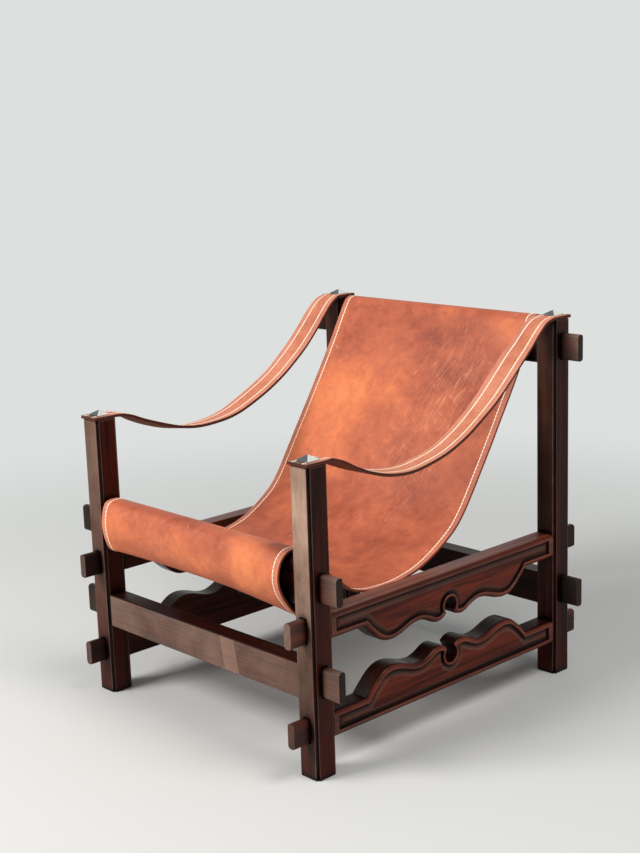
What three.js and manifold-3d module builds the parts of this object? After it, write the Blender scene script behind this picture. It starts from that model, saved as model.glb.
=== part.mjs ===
// Leather sling lounge chair. Four square posts are joined by four carved side rails
// and four cross rails, all with through tenons. A leather sling hangs between the
// two sling bars, and a leather arm strap runs on each side from the front post up to
// the back post, held by a pyramid stud at each end.
// Millimetres, +Z up. The sitter faces -Y and has +X on the left. The origin is on the
// floor, under the centre of the frame.
import * as THREE from 'three';
import { mergeVertices, mergeGeometries } from 'three/addons/utils/BufferGeometryUtils.js';
import Module from 'manifold-3d';

const wasm = await Module();
wasm.setup();

// Driving dimensions of the frame
const frameWidth = 675;
const frameDepth = 745;
const postSize = 50;
const frontPostHeight = 588;
const backPostHeight = 760;

// Clearance between pieces that touch or fit, and the overrun of every cutting tool
const fitGap = 0.3;
const overrun = 1;

// Places that several pieces share
const postX = (frameWidth - postSize) / 2;
const postY = (frameDepth - postSize) / 2;
const clearWidth = frameWidth - 2 * postSize;
const clearDepth = frameDepth - 2 * postSize;
const sides = [{ name: 'left', sign: 1 }, { name: 'right', sign: -1 }];

const chair = new THREE.Group();

// Materials, one of its own for each mesh
function darkWood() {
  return new THREE.MeshStandardMaterial({ color: 0x3c1d17, roughness: 0.42, metalness: 0 });
}

function cognacLeather() {
  return new THREE.MeshStandardMaterial({ color: 0xc4683f, roughness: 0.5, metalness: 0 });
}

function paleMetal() {
  return new THREE.MeshStandardMaterial({ color: 0xa9a49c, roughness: 0.35, metalness: 1 });
}

// Closed geometry to a solid that can be cut and joined, and back
function toSolid(geometry) {
  const bare = geometry.clone();
  bare.deleteAttribute('normal');
  bare.deleteAttribute('uv');
  const merged = mergeVertices(bare);
  const vertProperties = new Float32Array(merged.attributes.position.array);
  const triVerts = new Uint32Array(merged.index.array);
  return new wasm.Manifold(new wasm.Mesh({ numProp: 3, vertProperties, triVerts }));
}

function toGeometry(body) {
  const mesh = body.getMesh();
  const geometry = new THREE.BufferGeometry();
  geometry.setAttribute('position', new THREE.BufferAttribute(mesh.vertProperties, mesh.numProp));
  geometry.setIndex(new THREE.BufferAttribute(mesh.triVerts, 1));
  return geometry;
}

function addPiece(name, geometry, material) {
  const mesh = new THREE.Mesh(geometry, material);
  mesh.name = name;
  chair.add(mesh);
  return mesh;
}

// Block given by its low and high corners
function block(low, high) {
  const size = new THREE.Vector3().subVectors(high, low);
  const geometry = new THREE.BoxGeometry(size.x, size.y, size.z);
  geometry.translate((low.x + high.x) / 2, (low.y + high.y) / 2, (low.z + high.z) / 2);
  return geometry;
}

// Facets of a quarter or half round on the frame
const roundSegments = 8;

// Outline in the YZ plane extruded along X, centred on X = 0, its two ends chamfered
const crosswise = new THREE.Matrix4().makeBasis(
  new THREE.Vector3(0, 1, 0),
  new THREE.Vector3(0, 0, 1),
  new THREE.Vector3(1, 0, 0),
);

function extrudeAlongX(shape, length, endChamfer) {
  const geometry = new THREE.ExtrudeGeometry(shape, {
    depth: length - 2 * endChamfer,
    bevelEnabled: endChamfer > 0,
    bevelThickness: endChamfer,
    bevelSize: endChamfer,
    bevelOffset: -endChamfer,
    bevelSegments: 1,
    curveSegments: roundSegments,
  });
  geometry.translate(0, 0, endChamfer - length / 2);
  return geometry.applyMatrix4(crosswise);
}

// Rectangle around a centre, with its corners cut off
function easedRectangle(centreY, lowZ, width, height, ease) {
  const shape = new THREE.Shape();
  const left = centreY - width / 2;
  const right = centreY + width / 2;
  const highZ = lowZ + height;
  shape.moveTo(left + ease, lowZ);
  shape.lineTo(right - ease, lowZ);
  shape.lineTo(right, lowZ + ease);
  shape.lineTo(right, highZ - ease);
  shape.lineTo(right - ease, highZ);
  shape.lineTo(left + ease, highZ);
  shape.lineTo(left, highZ - ease);
  shape.lineTo(left, lowZ + ease);
  shape.closePath();
  return shape;
}

// Closed solid through rings of matching points. The rings run counter-clockwise as
// seen from the end that the solid grows towards, and flat gives a ring's points in
// its own plane for the two end caps. Quads of the ring's second half are split the
// other way, so that the two faces of a thin twisted piece fold alike.
function loft(rings, flat) {
  const count = rings[0].length;
  const positions = [];
  const faces = [];
  for (const ring of rings) {
    for (const point of ring) {
      positions.push(point.x, point.y, point.z);
    }
  }
  for (let level = 0; level < rings.length - 1; level += 1) {
    for (let i = 0; i < count; i += 1) {
      const next = (i + 1) % count;
      const low = level * count;
      const high = low + count;
      if (i < count / 2) {
        faces.push(low + i, low + next, high + next);
        faces.push(low + i, high + next, high + i);
      } else {
        faces.push(low + i, low + next, high + i);
        faces.push(low + next, high + next, high + i);
      }
    }
  }
  const last = (rings.length - 1) * count;
  for (const [a, b, c] of THREE.ShapeUtils.triangulateShape(flat(rings[0]), [])) {
    faces.push(c, b, a);
  }
  for (const [a, b, c] of THREE.ShapeUtils.triangulateShape(flat(rings[rings.length - 1]), [])) {
    faces.push(last + a, last + b, last + c);
  }
  const geometry = new THREE.BufferGeometry();
  geometry.setAttribute('position', new THREE.Float32BufferAttribute(positions, 3));
  geometry.setIndex(faces);
  return geometry;
}

// Through tenons: the side rails' run fore and aft, the cross rails' run from side to
// side at other heights, so that no two cross inside a post
const sideTenonThickness = 17.5;
const sideTenonProtrusion = 40;
const crossTenonThickness = 17;
const crossTenonProtrusion = 45;
const tenonChamfer = 3;
const tenonEase = 2;

// Carved side rails: the same board above and, upside down, below
const sideRailThickness = 42;
const upperRailTop = 309;
const lowerRailBottom = 70;
const railEndDepth = 49;
const railFullDepth = 95;
const railInnerEase = 1.5;

// Mouldings on the outer face, measured in from the rail's edge: a rounded bead, a
// groove and the bevel of the raised panel, which all stop at a flat stile at each end.
// Their widths are shares of the carved span: the clear depth, or what goes with the
// board's two depths where that is less, so that they fit between the scallops.
const fullDepthShare = 6.79;
const endDepthShare = 13.17;
const carvedSpan = Math.min(clearDepth, fullDepthShare * railFullDepth, endDepthShare * railEndDepth);
const beadWidthShare = 0.0186;
const grooveWidthShare = 0.0062;
const panelBevelShare = 0.0124;
const beadWidth = beadWidthShare * carvedSpan;
const grooveWidth = grooveWidthShare * carvedSpan;
const panelBevelWidth = panelBevelShare * carvedSpan;
const beadRadius = 8;
const beadInnerRound = 2.5;
const beadInnerSlant = 0.5;
const grooveDepth = 5;
const panelSetBack = 1;
const stileWidth = 14;

// Keyhole in the middle of the scalloped edge, with a thin ring around it
const keyholeRadius = 17.5;
const keyholeDepth = 69;
const keyholeMouthWidth = 24;
const keyholeEase = 1.5;
const ringWidth = 5;
const keyholeSegments = 32;

// Scalloped edge from the middle to the end of its outer lobe. Across: shares of half
// the clear depth between the posts. Down: shares of the way from the end depth to the
// full depth.
const scallopShares = [
  [0, 0.78], [0.037, 0.83], [0.068, 0.955], [0.112, 1], [0.155, 0.92], [0.192, 0.785],
  [0.242, 0.66], [0.282, 0.63], [0.344, 0.695], [0.425, 0.89], [0.499, 0.99], [0.564, 0.935],
  [0.611, 0.77], [0.642, 0.6], [0.67, 0.43], [0.701, 0.22], [0.729, 0],
];
const scallopSteps = 32;

// Rail outline in the YZ plane with its straight edge on Z = 0, counter-clockwise as
// seen from +X, running to a given distance each side of the middle
function railOutline(halfLength) {
  const keys = scallopShares.map(([across, down]) => new THREE.Vector2(
    across * clearDepth / 2,
    -railEndDepth - down * (railFullDepth - railEndDepth),
  ));
  const half = new THREE.SplineCurve(keys).getPoints(scallopSteps);
  const mirrored = half.slice(1).reverse().map((point) => new THREE.Vector2(-point.x, point.y));
  return [
    new THREE.Vector2(-halfLength, -railEndDepth),
    ...mirrored,
    ...half,
    new THREE.Vector2(halfLength, -railEndDepth),
    new THREE.Vector2(halfLength, 0),
    new THREE.Vector2(-halfLength, 0),
  ];
}

// The same outline moved inwards, each edge by the same distance
function insetOutline(outline, distance) {
  return outline.map((point, i) => {
    const before = outline[(i + outline.length - 1) % outline.length];
    const after = outline[(i + 1) % outline.length];
    const arriving = new THREE.Vector2().subVectors(point, before).normalize();
    const leaving = new THREE.Vector2().subVectors(after, point).normalize();
    const inward = new THREE.Vector2(-arriving.y - leaving.y, arriving.x + leaving.x);
    return inward.multiplyScalar(distance / (1 + arriving.dot(leaving))).add(point);
  });
}

// Solid whose section narrows by the insets listed for each height across the board
function steppedBoard(outline, levels) {
  const rings = levels.map(([distance, x]) => insetOutline(outline, distance)
    .map((point) => new THREE.Vector3(x, point.x, point.y)));
  return toSolid(loft(rings, (ring) => ring.map((point) => new THREE.Vector2(point.y, point.z))));
}

// Turned tool lying across the board on the keyhole's centre. The profile lists radius
// and distance from the inner face.
function turnedTool(profile) {
  const points = profile.map(([radius, x]) => new THREE.Vector2(radius, x));
  const geometry = new THREE.LatheGeometry(points, keyholeSegments);
  geometry.rotateZ(-Math.PI / 2);
  geometry.translate(0, 0, -keyholeDepth);
  return toSolid(geometry);
}

// Board with its rounded outer edge, longer than the rail and then cut to length
function railBoard() {
  const face = sideRailThickness;
  const levels = [[railInnerEase, 0], [0, railInnerEase]];
  for (const turn of [0, 1 / 3, 2 / 3, 1]) {
    const angle = turn * Math.PI / 2;
    levels.push([
      beadRadius * (1 - Math.cos(angle)),
      face - beadRadius + beadRadius * Math.sin(angle),
    ]);
  }
  const bodyHalf = clearDepth / 2 - fitGap;
  const long = steppedBoard(railOutline(clearDepth / 2 + postSize), levels);
  const length = toSolid(block(
    new THREE.Vector3(-overrun, -bodyHalf, -railFullDepth - overrun),
    new THREE.Vector3(face + overrun, bodyHalf, overrun),
  ));
  return long.intersect(length);
}

// Sunk ground between the bead and the panel, which leaves the keyhole's ring standing
function railGround(mouldedOutline) {
  const face = sideRailThickness;
  const floor = face - grooveDepth;
  const ringRadius = keyholeRadius + ringWidth;
  const ground = steppedBoard(mouldedOutline, [
    [beadWidth, floor],
    [beadWidth - beadInnerSlant, face - beadInnerRound],
    [beadWidth - beadInnerRound, face],
    [beadWidth - beadInnerRound, face + overrun],
  ]);
  const ring = turnedTool([
    [0, floor - overrun],
    [ringRadius, floor - overrun],
    [ringRadius, face - keyholeEase],
    [ringRadius - keyholeEase, face],
    [ringRadius - keyholeEase, face + 2 * overrun],
    [0, face + 2 * overrun],
  ]);
  return ground.subtract(ring);
}

// Raised panel with a bevel all round, also towards the keyhole's ring
function railPanel(mouldedOutline) {
  const floor = sideRailThickness - grooveDepth;
  const top = sideRailThickness - panelSetBack;
  const edge = beadWidth + grooveWidth;
  const holeEdge = keyholeRadius + ringWidth + grooveWidth;
  const panel = steppedBoard(mouldedOutline, [
    [edge, floor - overrun],
    [edge, floor],
    [edge + panelBevelWidth, top],
  ]);
  const opening = turnedTool([
    [0, floor - 2 * overrun],
    [holeEdge, floor - 2 * overrun],
    [holeEdge, floor],
    [holeEdge + panelBevelWidth, top],
    [holeEdge + panelBevelWidth, top + overrun],
    [0, top + overrun],
  ]);
  return panel.subtract(opening);
}

// Round keyhole and its mouth to the scalloped edge, both eased at the outer face
function railKeyhole() {
  const face = sideRailThickness;
  const round = turnedTool([
    [0, -overrun],
    [keyholeRadius, -overrun],
    [keyholeRadius, face - keyholeEase],
    [keyholeRadius + keyholeEase, face],
    [keyholeRadius + keyholeEase, face + overrun],
    [0, face + overrun],
  ]);
  const half = keyholeMouthWidth / 2;
  const mouthAt = (widening, x) => [
    new THREE.Vector3(x, -half - widening, -railFullDepth - overrun),
    new THREE.Vector3(x, half + widening, -railFullDepth - overrun),
    new THREE.Vector3(x, half + widening, -keyholeDepth),
    new THREE.Vector3(x, -half - widening, -keyholeDepth),
  ];
  const mouthRings = [
    mouthAt(0, -overrun),
    mouthAt(0, face - beadRadius / 2),
    mouthAt(keyholeEase, face - keyholeEase),
    mouthAt(beadRadius / 2, face),
    mouthAt(beadRadius / 2, face + overrun),
  ];
  const mouth = loft(mouthRings, (ring) => ring.map((point) => new THREE.Vector2(point.y, point.z)));
  return round.add(toSolid(mouth));
}

// One bar from tenon end to tenon end, the narrow end's full height
function sideTenons() {
  const length = frameDepth + 2 * sideTenonProtrusion;
  const shape = easedRectangle(
    sideRailThickness / 2,
    -railEndDepth,
    sideTenonThickness,
    railEndDepth,
    tenonEase,
  );
  const geometry = extrudeAlongX(shape, length, tenonChamfer);
  geometry.rotateZ(Math.PI / 2);
  geometry.translate(sideRailThickness, 0, 0);
  return toSolid(geometry);
}

function carvedRail() {
  const mouldedOutline = railOutline(clearDepth / 2 - stileWidth + beadWidth);
  const rail = railBoard()
    .subtract(railGround(mouldedOutline))
    .add(railPanel(mouldedOutline))
    .subtract(railKeyhole())
    .add(sideTenons());
  return toGeometry(rail);
}

// The two rails of each side, carved face outwards. The lower one is turned over, and
// the other side's pair is turned round.
function addSideRails() {
  for (const side of sides) {
    const turn = side.sign > 0 ? 0 : Math.PI;
    const x = side.sign * (postX - sideRailThickness / 2);
    const upper = addPiece(`side_rail_upper_${side.name}`, carvedRail(), darkWood());
    upper.position.set(x, 0, upperRailTop);
    upper.rotation.z = turn;
    const lower = addPiece(`side_rail_lower_${side.name}`, carvedRail(), darkWood());
    lower.position.set(x, 0, lowerRailBottom);
    lower.rotation.set(Math.PI, 0, turn);
  }
}

// Stretchers low between the posts, front and back, from the same stock. Their tenons
// are flush at the top and shouldered below.
const crossRailThickness = 40;
const stretcherHeight = 69;
const stretcherTop = 217;
const stretcherShoulder = 9;
const crossRailEase = 2;

// Sling bars between the posts, taller than their tenons, with a fully rounded top. The
// back bar is flush with the tops of the back posts.
const slingBarHeight = 92;
const frontBarTop = 420;
const backBarTop = backPostHeight;
const barTenonHeight = 55;
const barTenonDrop = 28;

function crossTenons(y, lowZ, height) {
  const shape = easedRectangle(y, lowZ, crossTenonThickness, height, tenonEase);
  return toSolid(extrudeAlongX(shape, frameWidth + 2 * crossTenonProtrusion, tenonChamfer));
}

function stretcher(y) {
  const shape = easedRectangle(
    y,
    stretcherTop - stretcherHeight,
    crossRailThickness,
    stretcherHeight,
    crossRailEase,
  );
  const body = toSolid(extrudeAlongX(shape, clearWidth - 2 * fitGap, 0));
  const tenonHeight = stretcherHeight - stretcherShoulder;
  return body.add(crossTenons(y, stretcherTop - tenonHeight, tenonHeight));
}

// Bar outline: eased lower corners and a half round on top
function slingBarShape(y, top) {
  const radius = crossRailThickness / 2;
  const bottom = top - slingBarHeight;
  const shape = new THREE.Shape();
  shape.moveTo(y - radius + crossRailEase, bottom);
  shape.lineTo(y + radius - crossRailEase, bottom);
  shape.lineTo(y + radius, bottom + crossRailEase);
  shape.absarc(y, top - radius, radius, 0, Math.PI, false);
  shape.lineTo(y - radius, bottom + crossRailEase);
  shape.closePath();
  return shape;
}

function slingBar(y, top) {
  const body = toSolid(extrudeAlongX(slingBarShape(y, top), clearWidth - 2 * fitGap, 0));
  return body.add(crossTenons(y, top - barTenonDrop - barTenonHeight, barTenonHeight));
}

// Sling: one thick hide, narrower than the space between the posts
const slingThickness = 4.5;
const slingSideGap = 15;
const seatLowHeight = 294.5;
const seatLowSetBack = 227.5;
const rollReach = 47.5;
const rollLowHeight = 293;
const flapOnBar = 57;
const frontFlapTop = frontBarTop - slingBarHeight + flapOnBar;
const backFlapBottom = backBarTop - crossRailThickness / 2 - flapOnBar;

// Roll in front of the front bar, from its lowest point behind the bar up to the crest.
// Fore and aft: shares of the roll's reach from the bar's centre. Up: shares of the way
// from its lowest point to the crest.
const rollShares = [
  [0.52, 0.09], [0.263, 0], [-0.053, 0.076], [-0.453, 0.212], [-0.811, 0.387], [-0.958, 0.524],
  [-1, 0.645], [-0.916, 0.797], [-0.747, 0.91], [-0.432, 0.99],
];

// Seat from the front crest down to its lowest point. Aft: shares of the low point's
// set-back. Up: shares of the way from the low point to the crest.
const seatDipShares = [
  [0.209, 0.748], [0.319, 0.549], [0.508, 0.28], [0.626, 0.127], [0.78, 0.035], [1, 0],
];

// Seat from its lowest point up to where the back runs straight. Aft and up: shares of
// the way from the low point to the back bar's crest.
const seatRiseShares = [
  [0.096, 0.004], [0.225, 0.034], [0.359, 0.107], [0.434, 0.172],
];
const backRunShares = [0.25, 0.5, 0.75];

// The back hangs slack behind that straight run, more at the left edge than at the
// right one. Shares of the slack at each point of the rise and of the run.
const backSlack = { left: 24, right: 6 };
const riseSlackShares = [0, 0.15, 0.4, 0.6];
const runSlackShares = [1, 1.05, 0.9];
const slingSpans = 4;

const wrapRadius = crossRailThickness / 2 + fitGap + slingThickness;
const frontWrapAngles = [90, 70, 50];
const backWrapShares = [1, 0.85, 0.68, 0.51, 0.34, 0.17, 0];
const stepsBetweenKeys = 3;

function wrapPoints(y, top, angles) {
  const centreZ = top - crossRailThickness / 2;
  return angles.map((degrees) => {
    const angle = THREE.MathUtils.degToRad(degrees);
    return new THREE.Vector2(
      y + wrapRadius * Math.cos(angle),
      centreZ + wrapRadius * Math.sin(angle),
    );
  });
}

// Angle at which the hide, coming straight up from a point, first touches the back bar
function firstTouchAngle(point) {
  const centreZ = backBarTop - crossRailThickness / 2;
  const toPoint = new THREE.Vector2(point.x - postY, point.y - centreZ);
  return THREE.MathUtils.radToDeg(toPoint.angle() - Math.acos(wrapRadius / toPoint.length()));
}

// Outer face of the hide in the YZ plane, from the flap behind the front bar, round the
// roll, over the bar, along the seat and the back, to the flap behind the back bar
function slingRoute(slack) {
  const frontCrest = frontBarTop + fitGap + slingThickness;
  const backCrest = backBarTop + fitGap + slingThickness;
  const frontFlapY = -postY + wrapRadius;
  const backFlapY = postY + wrapRadius;
  const roll = rollShares.map(([aft, up]) => new THREE.Vector2(
    -postY + aft * rollReach,
    rollLowHeight + up * (frontCrest - rollLowHeight),
  ));
  const seatLowY = -postY + seatLowSetBack;
  const dip = seatDipShares.map(([aft, up]) => new THREE.Vector2(
    -postY + aft * seatLowSetBack,
    seatLowHeight + up * (frontCrest - seatLowHeight),
  ));
  const rise = seatRiseShares.map(([aft, up]) => new THREE.Vector2(
    seatLowY + aft * (postY - seatLowY),
    seatLowHeight + up * (backCrest - seatLowHeight),
  ));
  const riseEnd = rise[rise.length - 1].clone();
  const [touch] = wrapPoints(postY, backBarTop, [firstTouchAngle(riseEnd)]);
  const backRun = backRunShares.map((share) => riseEnd.clone().lerp(touch, share));
  rise.forEach((point, i) => point.setX(point.x + slack * riseSlackShares[i]));
  backRun.forEach((point, i) => point.setX(point.x + slack * runSlackShares[i]));
  const firstTouch = firstTouchAngle(backRun[backRun.length - 1]);
  const backWrapAngles = backWrapShares.map((share) => share * firstTouch);
  const backWrap = wrapPoints(postY, backBarTop, backWrapAngles);
  return [
    new THREE.Vector2(frontFlapY, frontFlapTop),
    new THREE.Vector2(frontFlapY, frontBarTop - slingBarHeight),
    ...roll,
    ...wrapPoints(-postY, frontBarTop, frontWrapAngles),
    ...dip,
    ...rise,
    ...backRun,
    ...backWrap,
    new THREE.Vector2(backFlapY, backFlapBottom),
  ];
}

// Section of the hide at one place across: the points along the route, and the same
// points one thickness to its right, on the side towards the wood
function slingSection(x, slack) {
  const keys = slingRoute(slack).map((point) => new THREE.Vector3(point.x, point.y, 0));
  const curve = new THREE.CatmullRomCurve3(keys, false, 'centripetal');
  const steps = (keys.length - 1) * stepsBetweenKeys;
  const outer = [];
  const inner = [];
  for (let i = 0; i <= steps; i += 1) {
    const point = curve.getPoint(i / steps);
    const along = curve.getTangent(i / steps);
    outer.push(new THREE.Vector3(x, point.x, point.y));
    inner.push(new THREE.Vector3(
      x,
      point.x + along.y * slingThickness,
      point.y - along.x * slingThickness,
    ));
  }
  return [...inner, ...outer.reverse()];
}

function slingSolid() {
  const width = clearWidth - 2 * slingSideGap;
  const sections = [];
  for (let i = 0; i <= slingSpans; i += 1) {
    const share = i / slingSpans;
    const slack = THREE.MathUtils.lerp(backSlack.right, backSlack.left, share);
    sections.push(slingSection(width * (share - 0.5), slack));
  }
  return toSolid(loft(sections, (ring) => ring.map((point) => new THREE.Vector2(point.y, point.z))));
}

// Domed tacks that hold each flap to the rear face of its bar
const tackHeadRadius = 5;
const tackHeadHeight = 2.5;
const tackShankRadius = 1.2;
const tackLength = 16;
const tackMargin = 30;
const tackCount = 9;
const tackInset = 10;
const tackSegments = 8;

function tackPlaces(faceY, z) {
  const span = clearWidth - 2 * slingSideGap - 2 * tackMargin;
  const places = [];
  for (let i = 0; i < tackCount; i += 1) {
    places.push(new THREE.Vector3(span * (i / (tackCount - 1) - 0.5), faceY, z));
  }
  return places;
}

// Round tack with its axis along Y, its head's underside at Y = 0
function tackGeometry() {
  const tip = tackShankRadius / 2;
  const profile = [
    new THREE.Vector2(0, -tackLength),
    new THREE.Vector2(tip, -tackLength),
    new THREE.Vector2(tackShankRadius, -tackLength + tackShankRadius),
    new THREE.Vector2(tackShankRadius, 0),
    new THREE.Vector2(tackHeadRadius, 0),
    new THREE.Vector2(tackHeadRadius * Math.SQRT1_2, tackHeadHeight * Math.SQRT1_2),
    new THREE.Vector2(0, tackHeadHeight),
  ];
  return toGeometry(toSolid(new THREE.LatheGeometry(profile, tackSegments)));
}

function tackHoles(places) {
  const holes = places.map((place) => {
    const length = tackLength + fitGap + overrun;
    const hole = new THREE.CylinderGeometry(
      tackShankRadius + fitGap,
      tackShankRadius + fitGap,
      length,
      tackSegments,
    );
    hole.translate(place.x, place.y + overrun - length / 2, place.z);
    return hole;
  });
  return toSolid(mergeGeometries(holes));
}

function addTacks(name, places) {
  places.forEach((place, i) => {
    const tack = addPiece(`${name}_${i + 1}`, tackGeometry(), paleMetal());
    tack.position.set(place.x, place.y + fitGap, place.z);
  });
}

// Pyramid studs through the strap ends into the tops of the posts
const studSize = 30;
const studHeight = 10;
const studRim = 1.5;
const studShankRadius = 2.5;
const studDepthInPost = 28;
const studSegments = 12;

// Arm straps: two plies sewn face to face
const strapWidth = 50;
const strapPly = 3;
const strapOverhang = 3;
const strapThickness = 2 * strapPly + 2 * fitGap;

// Route of each strap between its posts. Aft: shares of the clear depth. Up: shares of
// the rise from the front post's top to the back post's. Lean: how far the outer edge
// hangs below the inner one, as a share of the strap's width, or above it where negative.
const strapRouteShares = {
  left: [
    [0, 0, 0], [0.027, -0.026, -0.13], [0.058, -0.07, -0.13], [0.105, -0.155, -0.07],
    [0.167, -0.249, -0.02], [0.244, -0.325, 0.03], [0.329, -0.359, 0.02], [0.415, -0.325, 0],
    [0.5, -0.252, -0.01], [0.585, -0.113, 0.03], [0.655, 0.047, 0.09], [0.717, 0.213, 0.185],
    [0.779, 0.412, 0.27], [0.833, 0.592, 0.29], [0.88, 0.73, 0.21], [0.926, 0.877, 0.12],
    [0.965, 0.973, 0.04], [1, 1, 0],
  ],
  right: [
    [0, 0, 0], [0.027, -0.014, 0.03], [0.058, -0.048, 0.05], [0.105, -0.132, 0.11],
    [0.167, -0.223, 0.15], [0.244, -0.314, 0.14], [0.329, -0.362, 0.1], [0.415, -0.35, 0.05],
    [0.5, -0.289, -0.04], [0.585, -0.161, -0.13], [0.655, -0.035, -0.16], [0.717, 0.1, -0.17],
    [0.779, 0.276, -0.23], [0.833, 0.448, -0.28], [0.88, 0.626, -0.29], [0.926, 0.812, -0.25],
    [0.965, 0.941, -0.13], [1, 1, 0],
  ],
};
const strapSteps = 48;
const strapRestSteps = 3;

// Stations of a strap's underside: place, direction and lean at each
function strapStations(sideName) {
  const rise = backPostHeight - frontPostHeight;
  const frontTop = frontPostHeight + fitGap;
  const frontEnd = -frameDepth / 2 - strapOverhang;
  const backEnd = frameDepth / 2 + strapOverhang;
  const keys = strapRouteShares[sideName].map(([aft, up, lean]) => new THREE.Vector3(
    (aft - 0.5) * clearDepth,
    frontTop + up * rise,
    lean * strapWidth,
  ));
  const points = [];
  for (let i = 0; i < strapRestSteps; i += 1) {
    const y = THREE.MathUtils.lerp(frontEnd, keys[0].x, i / strapRestSteps);
    points.push(new THREE.Vector3(y, frontTop, 0));
  }
  points.push(...new THREE.CatmullRomCurve3(keys, false, 'centripetal').getPoints(strapSteps));
  for (let i = 1; i <= strapRestSteps; i += 1) {
    const y = THREE.MathUtils.lerp(keys[keys.length - 1].x, backEnd, i / strapRestSteps);
    points.push(new THREE.Vector3(y, frontTop + rise, 0));
  }
  return points;
}

// One ply between two heights above the strap's underside. Its section leans outwards
// about the middle of the underside, and stays square to the route.
function strapPlyGeometry(side, low, high) {
  const points = strapStations(side.name);
  const rings = points.map((point, i) => {
    const before = points[Math.max(i - 1, 0)];
    const after = points[Math.min(i + 1, points.length - 1)];
    const along = new THREE.Vector2(after.x - before.x, after.y - before.y).normalize();
    const lean = Math.asin(point.z / strapWidth);
    const corner = (across, up) => {
      const lift = up * Math.cos(lean) - across * Math.sin(lean);
      const outward = across * Math.cos(lean) + up * Math.sin(lean);
      return new THREE.Vector3(
        side.sign * (postX + outward),
        point.x - along.y * lift,
        point.y + along.x * lift,
      );
    };
    const half = strapWidth / 2;
    const ring = [corner(half, low), corner(-half, low), corner(-half, high), corner(half, high)];
    return side.sign > 0 ? ring : ring.reverse();
  });
  return loft(rings, (ring) => ring.map((point) => new THREE.Vector2(-point.x, point.z)));
}

function studHoles(side, depthBelow) {
  const tops = [[-postY, frontPostHeight], [postY, backPostHeight]];
  const holes = tops.map(([y, top]) => {
    const length = depthBelow + strapThickness + 2 * overrun;
    const radius = studShankRadius + fitGap;
    const hole = new THREE.CylinderGeometry(radius, radius, length, studSegments);
    hole.rotateX(Math.PI / 2);
    hole.translate(side.sign * postX, y, top - depthBelow + length / 2);
    return hole;
  });
  return toSolid(mergeGeometries(holes));
}

function addArmStraps() {
  for (const side of sides) {
    const holes = studHoles(side, overrun);
    const lining = toSolid(strapPlyGeometry(side, 0, strapPly)).subtract(holes);
    addPiece(`arm_strap_lining_${side.name}`, toGeometry(lining), cognacLeather());
    const top = toSolid(strapPlyGeometry(side, strapPly + fitGap, 2 * strapPly + fitGap)).subtract(holes);
    addPiece(`arm_strap_${side.name}`, toGeometry(top), cognacLeather());
  }
}

// Pyramid head on a low square rim, with a round shank below it
function studGeometry() {
  const corner = studSize * Math.SQRT1_2;
  const tip = studRim / 2;
  const rim = new THREE.BoxGeometry(studSize, studSize, studRim);
  rim.translate(0, 0, studRim / 2);
  const pyramid = new THREE.CylinderGeometry(tip, corner, studHeight - studRim, 4);
  pyramid.rotateY(Math.PI / 4);
  pyramid.rotateX(Math.PI / 2);
  pyramid.translate(0, 0, (studHeight + studRim) / 2);
  const length = studDepthInPost + strapThickness + studRim / 2;
  const shank = new THREE.CylinderGeometry(studShankRadius, studShankRadius, length, studSegments);
  shank.rotateX(Math.PI / 2);
  shank.translate(0, 0, studRim / 2 - length / 2);
  return toGeometry(toSolid(rim).add(toSolid(pyramid)).add(toSolid(shank)));
}

function addStuds() {
  for (const side of sides) {
    const front = addPiece(`post_stud_front_${side.name}`, studGeometry(), paleMetal());
    front.position.set(side.sign * postX, -postY, frontPostHeight + fitGap + strapThickness);
    const back = addPiece(`post_stud_back_${side.name}`, studGeometry(), paleMetal());
    back.position.set(side.sign * postX, postY, backPostHeight + fitGap + strapThickness);
  }
}

// Posts: square with a small square step down every corner
const postStep = 5;
const postEndChamfer = 1.5;

function postBlank(x, y, height) {
  const half = postSize / 2;
  const waist = half - postStep;
  const corners = [
    [half, -waist], [half, waist], [waist, waist], [waist, half],
    [-waist, half], [-waist, waist], [-half, waist], [-half, -waist],
    [-waist, -waist], [-waist, -half], [waist, -half], [waist, -waist],
  ];
  const shape = new THREE.Shape(corners.map(([a, b]) => new THREE.Vector2(a, b)));
  const geometry = new THREE.ExtrudeGeometry(shape, {
    depth: height - 2 * postEndChamfer,
    bevelThickness: postEndChamfer,
    bevelSize: postEndChamfer,
    bevelOffset: -postEndChamfer,
    bevelSegments: 1,
  });
  geometry.translate(x, y, postEndChamfer);
  return toSolid(geometry);
}

// Mortise right through a post for a tenon that runs fore and aft
function sideMortise(x, y, lowZ) {
  const halfWidth = sideTenonThickness / 2 + fitGap;
  const reach = postSize / 2 + overrun;
  return toSolid(block(
    new THREE.Vector3(x - halfWidth, y - reach, lowZ - fitGap),
    new THREE.Vector3(x + halfWidth, y + reach, lowZ + railEndDepth + fitGap),
  ));
}

// Mortise right through a post for a tenon that runs from side to side
function crossMortise(x, y, topZ, height) {
  const halfWidth = crossTenonThickness / 2 + fitGap;
  const reach = postSize / 2 + overrun;
  return toSolid(block(
    new THREE.Vector3(x - reach, y - halfWidth, topZ - height - fitGap),
    new THREE.Vector3(x + reach, y + halfWidth, topZ + fitGap),
  ));
}

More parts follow.
